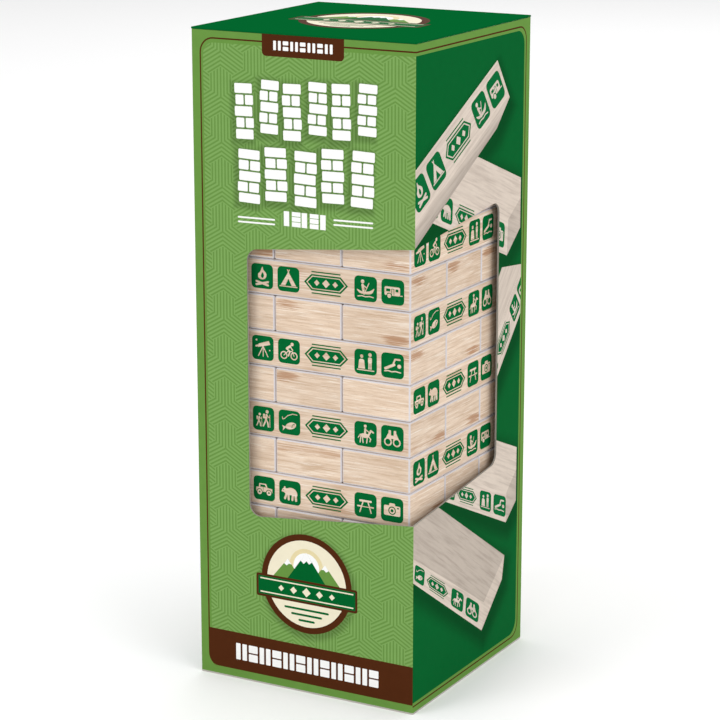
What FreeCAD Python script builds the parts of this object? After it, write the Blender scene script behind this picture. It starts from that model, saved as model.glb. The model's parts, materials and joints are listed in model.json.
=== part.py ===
"""A boxed tumbling-tower game: 54 wooden blocks stacked inside a folded carton with an open window.

Lengths are in millimetres. The origin is at the middle of the carton's base, +Z up, the front panel faces -Y,
and the window wraps round the vertical edge between the front (-Y) and the right (+X) panels.
"""

import FreeCAD, Part
import math
import os

import Sketcher

OUT = "parts"
X_AXIS, Y_AXIS, Z_AXIS = FreeCAD.Vector(1, 0, 0), FreeCAD.Vector(0, 1, 0), FreeCAD.Vector(0, 0, 1)

# name in the sheet, value, what it is
DRIVING = [
    ("block_length", 75.0, "a block is three times as long as it is wide, so three make a square layer"),
    ("block_width", 25.0, "a block's width, and the spacing of the blocks across a layer"),
    ("block_height", 12.0, "a block's height, and the spacing of the layers"),
    ("width_slack", 0.1, "gap between two blocks of one layer"),
    ("height_slack", 0.05, "gap between two layers"),
    ("block_rounding", 0.8, "radius of a block's sanded edges"),
    ("layer_count", 18, "layers in the stack"),
    ("board", 0.6, "thickness of the carton's board"),
    ("side_gap", 2.65, "room between the stack and the inside of each panel"),
    ("head_gap", 0.5, "room between the stack and the top dust flaps"),
    ("fold_gap", 0.1, "room between two pieces of board that move past each other"),
    ("fold_radius", 0.5, "outside radius of the carton's four vertical folds"),
    ("glue_flap_width", 12.0, "strip that glues the left panel to the inside of the back panel"),
    ("glue_flap_inset", 4.0, "how far the glue flap stops short of each end"),
    ("window_front_width", 61.5, "how far the window reaches along the front panel from the corner"),
    ("window_right_width", 59.6, "how far the window reaches along the right panel from the corner"),
    ("window_bottom", 64.5, "height of the window's lower edge at the corner"),
    ("window_top", 154.9, "height of the window's upper edge at the corner"),
    ("window_rise", 0.098, "rise of both edges for each millimetre to the right, on the unfolded board"),
    ("window_rounding", 4.0, "radius of the window's four corners"),
    ("tongue_depth", 13.0, "how far the lid's tongue tucks in behind the front panel"),
    ("tongue_inset", 2.5, "how far the tongue stops short of the lid's sides"),
    ("tongue_rounding", 8.0, "radius of the tongue's two corners"),
    ("flap_reach", 36.0, "how far a dust flap reaches in from its fold"),
    ("flap_front", 3.5, "how far a dust flap stops short of the front panel's outside"),
    ("flap_taper", 2.0, "how much further back its front edge is at its tip"),
    ("flap_back", 2.5, "how far its fold stops short of the back panel's outside"),
    ("flap_back_tip", 25.0, "the same at its tip, where it has to swing up clear of the lid"),
    ("flap_rounding", 6.0, "radius of a dust flap's two corners"),
]

# Places and sizes that follow from the driving dimensions, as expressions.
WIDTH = "(dims.block_length + 2 * dims.side_gap + 2 * dims.board)"
HALF = f"({WIDTH} / 2)"
INSIDE = f"({HALF} - dims.board)"
STACK_BASE = "(3 * dims.board)"
FLAP_BASE = f"({STACK_BASE} + dims.layer_count * dims.block_height + dims.head_gap)"
LID_BASE = f"({FLAP_BASE} + dims.board + dims.fold_gap)"
WALL_TOP = f"({LID_BASE} - dims.fold_gap)"
PAST = "(2 * dims.board)"

SAME_PLACE = 0.01  # two places closer than this are one place
LEAST_CUT = 1  # cubic millimetres that a pocket has to take away
LONGEST_BOARD_EDGE = 1  # an edge through the board's thickness is shorter than this
TIP_BAND = 5  # how near its furthest corner a flap's fold lies

doc = FreeCAD.newDocument("TumblingTower")
dims = doc.addObject("Spreadsheet::Sheet", "dims")


def fill_sheet():
    """Puts each driving dimension in a row of the sheet: its name, its value, and what it is."""
    for row, (alias, value, meaning) in enumerate(DRIVING, start=1):
        dims.set(f"A{row}", alias)
        dims.set(f"B{row}", str(value))
        dims.set(f"C{row}", meaning)
        dims.setAlias(f"B{row}", alias)
    doc.recompute()


def new_body(label):
    """An empty body, named as its piece."""
    body = doc.addObject("PartDesign::Body", label)
    body.Label = label
    return body


def new_sketch(body, name, plane, offset="0"):
    """A sketch on one of the body's own origin planes, moved along the plane's normal."""
    sketch = body.newObject("Sketcher::SketchObject", f"{body.Label}_{name}")
    base = [feature for feature in body.Origin.OriginFeatures if feature.Role == plane][0]
    sketch.AttachmentSupport = [(base, "")]
    sketch.MapMode = "FlatFace"
    sketch.setExpression("AttachmentOffset.Base.z", offset)
    return sketch


def place_point(sketch, line, end, across, up):
    """Fixes one end of a sketch line or arc at two coordinates, each an expression."""
    for kind, expression in (("DistanceX", across), ("DistanceY", up)):
        index = sketch.addConstraint(Sketcher.Constraint(kind, -1, 1, line, end, 1.0))
        sketch.setExpression(f"Constraints[{index}]", expression)


def add_outline(sketch, corners):
    """A closed outline of straight lines through corners, each a pair of expressions, in order."""
    count = len(corners)
    turn = 2 * math.pi / count
    rough = [FreeCAD.Vector(math.cos(turn * i), math.sin(turn * i), 0) for i in range(count)]
    lines = [
        sketch.addGeometry(Part.LineSegment(rough[i], rough[(i + 1) % count]), False)
        for i in range(count)
    ]
    for i in range(count):
        following = lines[(i + 1) % count]
        sketch.addConstraint(Sketcher.Constraint("Coincident", lines[i], 2, following, 1))
    for line, (across, up) in zip(lines, corners):
        place_point(sketch, line, 1, across, up)


def add_rectangle(sketch, left, right, low, high):
    """A closed rectangle between four expressions."""
    add_outline(sketch, [(left, low), (right, low), (right, high), (left, high)])


def add_pad(body, sketch, length, symmetric=False):
    """Adds board or wood: the sketch pushed out along its normal, or half to each side of it."""
    pad = body.newObject("PartDesign::Pad", f"{sketch.Name}_pad")
    pad.Profile = sketch
    pad.setExpression("Length", length)
    if symmetric:
        pad.SideType = "Symmetric"
    return pad


def cut_pocket(body, sketch, length, along_normal):
    """Cuts the sketch out of the body, and makes sure that the cut met the board."""
    doc.recompute()
    before = body.Shape.Volume
    pocket = body.newObject("PartDesign::Pocket", f"{sketch.Name}_pocket")
    pocket.Profile = sketch
    pocket.setExpression("Length", length)
    pocket.Reversed = along_normal
    doc.recompute()
    if not body.Shape.Volume < before - LEAST_CUT:
        raise RuntimeError(f"{pocket.Name} cuts nothing")


def round_edges(body, name, radius, wanted=None):
    """Fillets the edges that wanted(edge) picks, or all of them."""
    doc.recompute()
    base = body.Tip
    fillet = body.newObject("PartDesign::Fillet", f"{body.Label}_{name}")
    if wanted is None:
        fillet.Base = (base, [""])
        fillet.UseAllEdges = True
    else:
        edges = [f"Edge{i}" for i, edge in enumerate(base.Shape.Edges, start=1) if wanted(edge)]
        if not edges:
            raise RuntimeError(f"{fillet.Name} found no edge to round")
        fillet.Base = (base, edges)
    fillet.setExpression("Radius", radius)
    doc.recompute()


def runs_along(edge, axis):
    """Whether an edge is a straight line along an axis."""
    if edge.Curve.TypeId != "Part::GeomLine":
        return False
    return abs(abs(edge.Curve.Direction.dot(axis)) - 1) < 1e-6


def place_body(body, across="0", back="0", up="0"):
    """Moves a whole body, each coordinate an expression."""
    for coordinate, expression in (("x", across), ("y", back), ("z", up)):
        body.setExpression(f"Placement.Base.{coordinate}", expression)


def make_block(label, layer, across):
    """One wooden block. Odd layers run front to back, even layers run left to right.

    across is -1, 0 or 1: left, middle or right in an odd layer, front, middle or back in an even one.
    """
    body = new_body(label)
    profile = new_sketch(body, "profile", "XY_Plane")
    half_length = "dims.block_length / 2"
    half_width = "(dims.block_width - dims.width_slack) / 2"
    add_rectangle(profile, f"-{half_length}", half_length, f"-{half_width}", half_width)
    add_pad(body, profile, "dims.block_height - dims.height_slack")
    round_edges(body, "sanded", "dims.block_rounding")
    step = f"{across} * dims.block_width"
    height = f"{STACK_BASE} + {layer - 1} * dims.block_height"
    if layer % 2:
        body.Placement.Rotation = FreeCAD.Rotation(Z_AXIS, 90)
        place_body(body, across=step, up=height)
    else:
        place_body(body, back=step, up=height)
    return body


def make_stack():
    """All the blocks, named by layer from the bottom and by place in the layer."""
    places = {1: ("left", "middle", "right"), 0: ("front", "middle", "back")}
    blocks = []
    for layer in range(1, int(dims.layer_count) + 1):
        for across, place in zip((-1, 0, 1), places[layer % 2]):
            blocks.append(make_block(f"block_{layer:02d}_{place}", layer, across))
    return blocks


def add_window(body, name, plane, far, corner, past, width, slope_sign):
    """Cuts one panel's share of the window, from its far side to past the corner fold.

    far, corner and past are places along the panel; both slanting edges meet the other panel's at the corner.
    """
    outline = new_sketch(body, name, plane, INSIDE)
    far_shift = f"{slope_sign} * dims.window_rise * {width}"
    past_shift = f"{-slope_sign} * dims.window_rise * {PAST}"
    corners = [
        (far, f"dims.window_bottom + {far_shift}"),
        (past, f"dims.window_bottom + {past_shift}"),
        (past, f"dims.window_top + {past_shift}"),
        (far, f"dims.window_top + {far_shift}"),
    ]
    if slope_sign > 0:
        corners.reverse()
    add_outline(outline, corners)
    cut_pocket(body, outline, PAST, True)


def make_sleeve():
    """The carton's four panels, folded from one board, with the glue flap, the notches and the window."""
    body = new_body("carton_sleeve")
    ring = new_sketch(body, "ring", "XY_Plane", "dims.board")
    add_rectangle(ring, f"-{HALF}", HALF, f"-{HALF}", HALF)
    add_rectangle(ring, f"-{INSIDE}", INSIDE, f"-{INSIDE}", INSIDE)
    add_pad(body, ring, f"{WALL_TOP} - dims.board")

    half = (dims.block_length + 2 * dims.side_gap + 2 * dims.board) / 2

    def is_outer_fold(edge):
        point = edge.CenterOfMass
        return runs_along(edge, Z_AXIS) and abs(abs(point.x) - half) + abs(abs(point.y) - half) < 1e-6

    round_edges(body, "folds", "dims.fold_radius", is_outer_fold)

    flap = new_sketch(body, "glue_flap", "XY_Plane", f"{STACK_BASE} + dims.glue_flap_inset")
    flap_end = f"dims.glue_flap_width - {INSIDE}"
    add_rectangle(flap, f"-{INSIDE}", flap_end, f"{INSIDE} - dims.board", INSIDE)
    add_pad(body, flap, f"{FLAP_BASE} - {STACK_BASE} - 2 * dims.glue_flap_inset")

    notches = new_sketch(body, "notches", "XY_Plane", WALL_TOP)
    low = f"dims.flap_front - {HALF} - dims.fold_gap"
    high = f"{HALF} - dims.flap_back + dims.fold_gap"
    outer, inner = f"({HALF} + dims.board)", f"({INSIDE} - dims.board)"
    add_rectangle(notches, f"-{outer}", f"-{inner}", low, high)
    add_rectangle(notches, inner, outer, low, high)
    cut_pocket(body, notches, "dims.board + dims.fold_gap", False)

    front_far = f"{HALF} - dims.window_front_width"
    right_far = f"dims.window_right_width - {HALF}"
    add_window(body, "window_front", "XZ_Plane", front_far, HALF, f"{HALF} + {PAST}",
               "dims.window_front_width", -1)
    add_window(body, "window_right", "YZ_Plane", right_far, f"-{HALF}", f"-{HALF} - {PAST}",
               "dims.window_right_width", 1)

    left_side = half - dims.window_front_width
    right_side = dims.window_right_width - half

    def is_window_corner(edge):
        point = edge.CenterOfMass
        on_front = runs_along(edge, Y_AXIS) and abs(point.x - left_side) < SAME_PLACE
        on_right = runs_along(edge, X_AXIS) and abs(point.y - right_side) < SAME_PLACE
        return (on_front or on_right) and edge.Length < LONGEST_BOARD_EDGE

    round_edges(body, "window_corners", "dims.window_rounding", is_window_corner)
    return body


def add_round_corner(sketch, side, edge, tip, radius):
    """What a quarter circle leaves of a lower corner at the left (side -1) or right (side 1) edge."""
    corner = (f"{side} * {edge}", tip)
    above = (corner[0], f"{tip} + {radius}")
    beside = (f"{side} * ({edge} - {radius})", tip)
    rough = [FreeCAD.Vector(side, 0, 0), FreeCAD.Vector(side, 1, 0), FreeCAD.Vector(0, 0, 0)]
    up = sketch.addGeometry(Part.LineSegment(rough[0], rough[1]), False)
    along = sketch.addGeometry(Part.LineSegment(rough[0], rough[2]), False)
    circle = Part.Circle(FreeCAD.Vector(0, 1, 0), Z_AXIS, 1)
    start = -math.pi / 2 if side > 0 else math.pi
    arc = sketch.addGeometry(Part.ArcOfCircle(circle, start, start + math.pi / 2), False)
    first, last = (beside, above) if side > 0 else (above, beside)
    place_point(sketch, up, 1, *corner)
    place_point(sketch, up, 2, *above)
    place_point(sketch, along, 1, *corner)
    place_point(sketch, along, 2, *beside)
    place_point(sketch, arc, 1, *first)
    place_point(sketch, arc, 2, *last)
    index = sketch.addConstraint(Sketcher.Constraint("Radius", arc, 1.0))
    sketch.setExpression(f"Constraints[{index}]", radius)


def make_lid():
    """The lid, hinged on the back panel, with the curved tongue that tucks in behind the front panel."""
    body = new_body("top_lid")
    panel = new_sketch(body, "panel", "XY_Plane", LID_BASE)
    add_rectangle(panel, f"-{HALF}", HALF, f"-{HALF}", f"{HALF} - dims.fold_gap / 2")
    add_pad(body, panel, "dims.board")

    profile = new_sketch(body, "tongue", "YZ_Plane")
    outside = f"({WIDTH} - dims.board - dims.fold_gap)"
    # A rough start near the right place, which the constraints then fix.
    rough_centre = FreeCAD.Vector(40, 220, 0)
    rough_outer, rough_inner, rough_sweep = 81, 80, 0.15
    arcs = []
    for radius in (rough_outer, rough_inner):
        circle = Part.Circle(rough_centre, Z_AXIS, radius)
        arc = Part.ArcOfCircle(circle, math.pi, math.pi + rough_sweep)
        arcs.append(profile.addGeometry(arc, False))
    outer, inner = arcs
    ends = []
    for which in (1, 2):
        start = profile.Geometry[outer].StartPoint if which == 1 else profile.Geometry[outer].EndPoint
        finish = profile.Geometry[inner].StartPoint if which == 1 else profile.Geometry[inner].EndPoint
        line = profile.addGeometry(Part.LineSegment(start, finish), False)
        profile.addConstraint(Sketcher.Constraint("Coincident", outer, which, line, 1))
        profile.addConstraint(Sketcher.Constraint("Coincident", inner, which, line, 2))
        profile.addConstraint(Sketcher.Constraint("Horizontal", line))
        ends.append(line)
    for arc, radius in ((outer, outside), (inner, f"{outside} - dims.board")):
        place_point(profile, arc, 3, HALF, LID_BASE)
        index = profile.addConstraint(Sketcher.Constraint("Radius", arc, float(rough_inner)))
        profile.setExpression(f"Constraints[{index}]", radius)
    for line, height in zip(ends, (f"{LID_BASE} + dims.board / 2", f"{LID_BASE} - dims.tongue_depth")):
        index = profile.addConstraint(Sketcher.Constraint("DistanceY", -1, 1, line, 1, 1.0))
        profile.setExpression(f"Constraints[{index}]", height)
    half_width = f"({INSIDE} - dims.tongue_inset)"
    add_pad(body, profile, f"2 * {half_width}", symmetric=True)

    rounding = new_sketch(body, "tongue_rounding", "XZ_Plane")
    tip = f"({LID_BASE} - dims.tongue_depth)"
    for side in (-1, 1):
        add_round_corner(rounding, side, half_width, tip, "dims.tongue_rounding")
    cut_pocket(body, rounding, HALF, True)
    return body


def make_flap(label, side, base, fold, reach="dims.flap_reach"):
    """A dust flap that reaches in from the left (side -1) or right (side 1) panel."""
    body = new_body(label)
    outline = new_sketch(body, "outline", "XY_Plane", base)
    fold_x = f"{side} * {fold}"
    tip_x = f"{side} * ({fold} - {reach})"
    corners = [
        (fold_x, f"dims.flap_front - {HALF}"),
        (tip_x, f"dims.flap_front + dims.flap_taper - {HALF}"),
        (tip_x, f"{HALF} - dims.flap_back_tip"),
        (fold_x, f"{HALF} - dims.flap_back"),
    ]
    if side > 0:
        corners.reverse()
    add_outline(outline, corners)
    add_pad(body, outline, "dims.board")
    doc.recompute()
    fold_start = max(abs(vertex.Point.x) for vertex in body.Shape.Vertexes) - TIP_BAND

    def is_tip(edge):
        return runs_along(edge, Z_AXIS) and abs(edge.CenterOfMass.x) < fold_start

    round_edges(body, "tips", "dims.flap_rounding", is_tip)
    return body


def make_bottom_panel(label, base, half):
    """One of the two square panels that close the bottom."""
    body = new_body(label)
    outline = new_sketch(body, "outline", "XY_Plane", base)
    add_rectangle(outline, f"-{half}", half, f"-{half}", half)
    add_pad(body, outline, "dims.board")
    round_edges(body, "corners", "dims.fold_radius", lambda edge: runs_along(edge, Z_AXIS))
    return body


def group(label, pieces):
    """Several separate solids that make one sub-part."""
    compound = doc.addObject("Part::Compound", label)
    compound.Label = label
    compound.Links = pieces
    return compound


def make_bottom():
    """The glued bottom: an outer and an inner panel, and two dust flaps on top of them."""
    inner_half = f"({INSIDE} - dims.fold_gap)"
    panels = [
        make_bottom_panel("bottom_outer_panel", "0", HALF),
        make_bottom_panel("bottom_inner_panel", "dims.board", inner_half),
    ]
    reach = "(dims.flap_reach - dims.board)"
    flaps = [
        make_flap("bottom_flap_left", -1, "2 * dims.board", inner_half, reach),
        make_flap("bottom_flap_right", 1, "2 * dims.board", inner_half, reach),
    ]
    return [group("bottom_panels", panels), group("bottom_dust_flaps", flaps)]


def main():
    os.makedirs(OUT, exist_ok=True)
    fill_sheet()
    nodes = [
        make_sleeve(),
        make_lid(),
        make_flap("top_dust_flap_left", -1, FLAP_BASE, HALF),
        make_flap("top_dust_flap_right", 1, FLAP_BASE, HALF),
    ]
    nodes += make_bottom()
    nodes += make_stack()
    doc.recompute()
    for thing in doc.Objects:
        if "Invalid" in thing.State or "Error" in thing.State:
            raise RuntimeError(f"{thing.Name} did not recompute: {thing.State}")
    for node in nodes:
        if node.Shape.isNull() or not node.Shape.isValid():
            raise RuntimeError(f"{node.Label} has no valid shape")
    for node in nodes:
        node.Shape.exportStep(os.path.join(OUT, f"{node.Label}.step"))
    print(f"{len(nodes)} sub-parts written")


main()
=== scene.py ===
"""The looks of a boxed tumbling tower game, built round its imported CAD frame.

Lengths are in millimetres until a mesh is made. On a flat face, s runs to the right as the face is looked at from
outside, and z runs up. Print is a thin film of flat patches: later patches lie on earlier ones, and a patch whose
ink is None is a hole that shows what is under the film.
"""

import json
import math
from collections import namedtuple

import bpy
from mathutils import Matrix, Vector
from mathutils.geometry import delaunay_2d_cdt, intersect_point_line


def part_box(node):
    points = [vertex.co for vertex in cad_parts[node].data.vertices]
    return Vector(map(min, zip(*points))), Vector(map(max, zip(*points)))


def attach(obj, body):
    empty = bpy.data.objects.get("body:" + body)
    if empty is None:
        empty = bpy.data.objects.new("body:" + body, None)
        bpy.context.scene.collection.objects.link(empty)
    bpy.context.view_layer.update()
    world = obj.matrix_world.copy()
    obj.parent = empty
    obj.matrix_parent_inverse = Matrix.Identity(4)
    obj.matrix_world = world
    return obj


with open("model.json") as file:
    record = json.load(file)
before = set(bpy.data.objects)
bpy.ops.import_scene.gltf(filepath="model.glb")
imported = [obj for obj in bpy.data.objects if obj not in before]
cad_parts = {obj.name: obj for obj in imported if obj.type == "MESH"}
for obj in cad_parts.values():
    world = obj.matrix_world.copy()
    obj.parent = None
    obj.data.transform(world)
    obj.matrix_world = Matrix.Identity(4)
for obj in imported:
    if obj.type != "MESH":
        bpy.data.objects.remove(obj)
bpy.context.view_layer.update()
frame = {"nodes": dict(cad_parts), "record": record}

MM = 0.001
PROUD = 0.02  # an ink film stands this far off the face under it
UP = Vector((0, 0, 1))


def box_mm(node):
    """Lowest and highest corner of a CAD node, in millimetres."""
    lowest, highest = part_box(node)
    return lowest / MM, highest / MM


# ---------------------------------------------------------------- sizes that the film and the materials share
HALF = box_mm("carton_sleeve")[1].x  # half the carton's width
WIDTH = 2 * HALF
LID_TOP = box_mm("top_lid")[1].z
STACK_BASE = box_mm("block_01_left")[0].z
BLOCK_LENGTH, BLOCK_WIDTH, BLOCK_HEIGHT = 75.0, 25.0, 12.0
BOARD = 0.6
FOLD_RADIUS = 0.5
WINDOW_FRONT_WIDTH, WINDOW_RIGHT_WIDTH = 61.5, 59.6  # how far the window reaches from the corner fold
WINDOW_BOTTOM, WINDOW_TOP = 64.5, 154.9  # at the corner fold
WINDOW_RISE = 0.098  # its edges rise this much for each millimetre to the right
WINDOW_ROUNDING = 4.0
CORNER_STEPS = 8


# ---------------------------------------------------------------- colours, linear
FRONT_GREEN = (0.128, 0.258, 0.058)
FRONT_LINE = (0.186, 0.344, 0.097)
BORDER_GREEN = (0.125, 0.262, 0.052)
DARK_GREEN = (0.0010, 0.105, 0.022)
PALE_WOOD = (0.655, 0.565, 0.485)
PRINTED_STREAK = (0.41, 0.34, 0.29)
WOOD_LIGHT = (0.73, 0.580, 0.450)
WOOD_MIDDLE = (0.62, 0.465, 0.340)
WOOD_DARK = (0.41, 0.255, 0.145)
WOOD_PALE = (0.82, 0.74, 0.65)
WOOD_KNOT = (0.36, 0.165, 0.070)
# painted shade: the grey of the band along each block's edges, which stands in for the shading of their rounded edges
EDGE_SHADE_GREY = (0.62, 0.59, 0.605)
EDGE_SHADE_WIDTH = 0.75  # width of a grey band painted along a block's edges: painted shade that stands in for the shading of the rounded edges between blocks
FACING, FACING_FRONT = 0.3, 0.6  # a face looks a way when its direction has more than this that way
BARE_BOARD = (0.44, 0.42, 0.38)
BARE_FIBRE_DARK, BARE_FIBRE_LIGHT = (0.28, 0.25, 0.21), (0.60, 0.58, 0.54)
# painted shade: the cut edges are a darker grey than the bare board, partly the board's core and partly painted shade
# along the window's edges
CUT_EDGE_SHADE = (0.30, 0.28, 0.25)
FLOOR_COLOUR = (0.94, 0.94, 0.94)
INK_GLOSS = 0.004  # specular level of the print
PRINT_ROUGHNESS, BLOCK_INK_ROUGHNESS, BOARD_ROUGHNESS = 0.42, 0.5, 0.85
PRINT_TINT, SMOOTH_TINT, BLOCK_INK_TINT = 0.03, 0.02, 0.10  # how mottled an ink is


# ---------------------------------------------------------------- materials
class Term:
    """A node's output, which goes into ordinary sums and comparisons; those give 1 where they hold and 0 elsewhere."""

    def __init__(self, surface, socket):
        self.surface, self.socket = surface, socket

    def __rsub__(self, other):
        return self.surface.math("SUBTRACT", other, self)


for method, operation in {
    "__add__": "ADD", "__sub__": "SUBTRACT", "__mul__": "MULTIPLY", "__truediv__": "DIVIDE", "__abs__": "ABSOLUTE",
    "__gt__": "GREATER_THAN", "__lt__": "LESS_THAN", "__mod__": "FLOORED_MODULO", "floor": "FLOOR", "sign": "SIGN",
    "nearest": "ROUND", "fraction": "FRACT", "larger": "MAXIMUM",
}.items():
    setattr(Term, method, lambda self, *others, operation=operation: self.surface.math(operation, self, *others))


class Surface:
    """A Principled material, with short calls for the nodes that its colour and bump are made of."""

    def __init__(self, name, roughness, gloss=None):
        self.material = bpy.data.materials.new(name)
        self.material.use_nodes = True
        self.nodes = self.material.node_tree.nodes
        self.shader = self.nodes["Principled BSDF"]
        self.shader.inputs["Roughness"].default_value = roughness
        if gloss is not None:
            self.shader.inputs["Specular IOR Level"].default_value = gloss

    def feed(self, socket, value):
        """Links a term to a socket, or sets the socket to a number, a point or a colour."""
        if isinstance(value, Term):
            self.material.node_tree.links.new(value.socket, socket)
        elif hasattr(value, "__len__") and len(value) < len(socket.default_value):
            socket.default_value = (*value, 1.0)
        else:
            socket.default_value = value

    def node(self, kind, *values, **settings):
        """A node of a kind, with its first sockets fed and its settings set."""
        node = self.nodes.new("ShaderNode" + kind)
        for setting, value in settings.items():
            setattr(node, setting, value)
        for socket, value in zip(node.inputs, values):
            self.feed(socket, value)
        return node

    def math(self, operation, *values):
        return Term(self, self.node("Math", *values, operation=operation).outputs[0])

    def step(self, value, start, end, low=0.0, high=1.0):
        """Goes smoothly from low to high as value goes from start to end."""
        node = self.node("MapRange", value, start, end, low, high, interpolation_type="SMOOTHSTEP")
        return Term(self, node.outputs[0])

    def point(self, x, y, z):
        return Term(self, self.node("CombineXYZ", x, y, z).outputs[0])

    def parts(self, socket):
        return [Term(self, part) for part in self.node("SeparateXYZ", Term(self, socket)).outputs]

    def place(self):
        """The object's own coordinates, in millimetres."""
        return [part * (1 / MM) for part in self.parts(self.node("TexCoord").outputs["Object"])]

    def normal(self):
        """The face's direction in the object's own frame."""
        return self.parts(self.node("TexCoord").outputs["Normal"])

    def noise(self, place, detail=2.0, roughness=0.5, distortion=0.0):
        node = self.node("TexNoise", self.point(*place))
        for socket, value in zip(("Scale", "Detail", "Roughness", "Distortion"), (1.0, detail, roughness, distortion)):
            self.feed(node.inputs[socket], value)
        return Term(self, node.outputs[0])

    def random(self, *place):
        return self.parts(self.node("TexWhiteNoise", self.point(*place)).outputs["Color"])

    def mix(self, factor, first, second, blend="MIX"):
        node = self.node("Mix", factor, data_type="RGBA", blend_type=blend)
        self.feed(node.inputs[6], first)
        self.feed(node.inputs[7], second)
        return Term(self, node.outputs[2])

    def blend(self, colour, other, value, start, end, share):
        """Brings in a share of the other colour as value goes from start to end."""
        return self.mix(self.step(value, start, end, 0.0, share), colour, other)

    def bright(self, colour, factor):
        """The colour times a number."""
        return self.mix(1.0, colour, self.point(factor, factor, factor), "MULTIPLY")

    def set(self, socket, value):
        self.feed(self.shader.inputs[socket], value)

    def bump(self, height, distance, strength=1.0):
        """Roughens the face by height, which goes from 0 to 1 over distance in millimetres."""
        node = self.node("Bump")
        for socket, value in (("Distance", distance * MM), ("Strength", strength), ("Height", height)):
            self.feed(node.inputs[socket], value)
        self.set("Normal", Term(self, node.outputs[0]))


def make_wood(name, along_x):
    """Pale beech whose grain runs along X or along Y, with streaks, fine pores and a few brown smudges.

    Each block has its own shifts, from the layer and the place in the layer that its coordinates give.
    """
    wood = Surface(name, 0.55, 0.2)
    x, y, z = wood.place()
    along, across = (x, y) if along_x else (y, x)
    half_stack = BLOCK_LENGTH / 2
    layer = ((z - STACK_BASE) / BLOCK_HEIGHT).floor()
    column = ((across + half_stack) / BLOCK_WIDTH).floor()
    first, second, third = wood.random(column, layer, 3.0 if along_x else 7.0)
    fourth, fifth, sixth = wood.random(layer, column, 11.0 if along_x else 5.0)
    height = z - (layer * BLOCK_HEIGHT + STACK_BASE)
    shift_a, shift_b = first * 90.0, second * 70.0

    def streaky(per_along, per_across, per_height, *settings):
        """Noise drawn out along the grain."""
        place = (along * per_along + shift_a, across * per_across + shift_b, (height + shift_b) * per_height)
        return wood.noise(place, *settings)

    figure = streaky(0.035, 0.05, 0.28, 2.0, 0.5, 0.6)
    streaks = streaky(0.035, 0.045, 0.80, 4.0, 0.66, 0.5)
    fibres = streaky(0.07, 0.085, 2.6, 3.0, 0.66, 0.3)
    pores = streaky(0.30, 1.6, 5.5, 1.0, 0.4)

    colour = wood.blend(WOOD_LIGHT, WOOD_MIDDLE, streaks, 0.38, 0.62, 1.0)
    colour = wood.blend(colour, WOOD_DARK, figure, 0.52, 0.78, 0.40)
    colour = wood.blend(colour, WOOD_DARK, fibres, 0.53, 0.72, 0.55)
    colour = wood.blend(colour, WOOD_PALE, fibres, 0.47, 0.30, 0.80)

    def smudge(place, middle, reach, level, thickness):
        """A brown mark, 1 at its middle, that breaks up into streaks."""
        sideways, upwards = (place - middle) / reach, (height - level) / thickness
        return wood.step(sideways * sideways + upwards * upwards + (0.5 - fibres) * 5.0, 1.1, -0.1)

    # A mark lies at a block's upper left or at its lower right, as its end is looked at.
    upper = third > 0.5
    level = upper * 6.9 + 2.5
    on_side = smudge(along, fourth * (0.9 * BLOCK_LENGTH) - 0.45 * BLOCK_LENGTH, 8.0, level, 1.7)
    column_start = column * BLOCK_WIDTH - half_stack
    near_end = wood.step(abs(along), half_stack - 14.0, half_stack - 3.0) * (fourth > 0.25)
    on_end = smudge(across, column_start + fifth * 3.0 + (upper * -15.0 + 18.5), 5.5, level, 1.9) * near_end
    colour = wood.mix((on_side * 0.40).larger(on_end * 0.72), colour, WOOD_KNOT)

    def near_limit(value, limit):
        return wood.step(abs(value), limit - EDGE_SHADE_WIDTH, limit - EDGE_SHADE_WIDTH / 2)

    edge_shade = near_limit(along, half_stack) + near_limit(across - column_start - BLOCK_WIDTH / 2, BLOCK_WIDTH / 2)
    edge_shade += near_limit(height - BLOCK_HEIGHT / 2, BLOCK_HEIGHT / 2)
    # painted shade: near every edge the wood turns to a grey that stands in for the shading of the rounded edges
    # between blocks
    colour = wood.blend(colour, EDGE_SHADE_GREY, edge_shade, 1.2, 1.9, 1.0)
    colour = wood.blend(colour, WOOD_DARK, pores, 0.60, 0.78, 0.30)
    wood.set("Base Color", wood.bright(colour, sixth * 0.10 + 0.95))
    wood.set("Roughness", wood.step(fibres, 0.2, 0.8, 0.50, 0.64))
    wood.bump(fibres * 0.6 + pores * -0.4, 0.12, 0.5)
    return wood.material


def make_board(name, printed, outer_side):
    """Carton board: grey-white fibre, with ink on the side that outer_side, a function of the surface, gives as 1."""
    board = Surface(name, BOARD_ROUGHNESS, 0.0)
    x, y, z = board.place()
    cloud = board.noise((x * 0.09, y, z * 0.09))
    fibres = board.noise((x * 2.2, y * 2.2, z * 0.7), 3.0, 0.7)
    bare = board.bright(BARE_BOARD, board.step(cloud, 0.2, 0.8, 0.96, 1.04))
    bare = board.blend(bare, BARE_FIBRE_DARK, fibres, 0.60, 0.75, 0.35)
    bare = board.blend(bare, BARE_FIBRE_LIGHT, fibres, 0.40, 0.25, 0.30)
    outside, shaded_cut_edge = outer_side(board)
    # painted shade: the cut edges get the darker grey, which partly stands in for the shade along the window's edges
    if shaded_cut_edge:
        bare = board.mix(shaded_cut_edge, bare, CUT_EDGE_SHADE)
    board.set("Base Color", board.mix(outside, bare, printed))
    board.set("Roughness", board.step(outside, 0.0, 1.0, BOARD_ROUGHNESS, PRINT_ROUGHNESS))
    board.bump(fibres, 0.03, 0.4)
    return board.material


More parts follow.
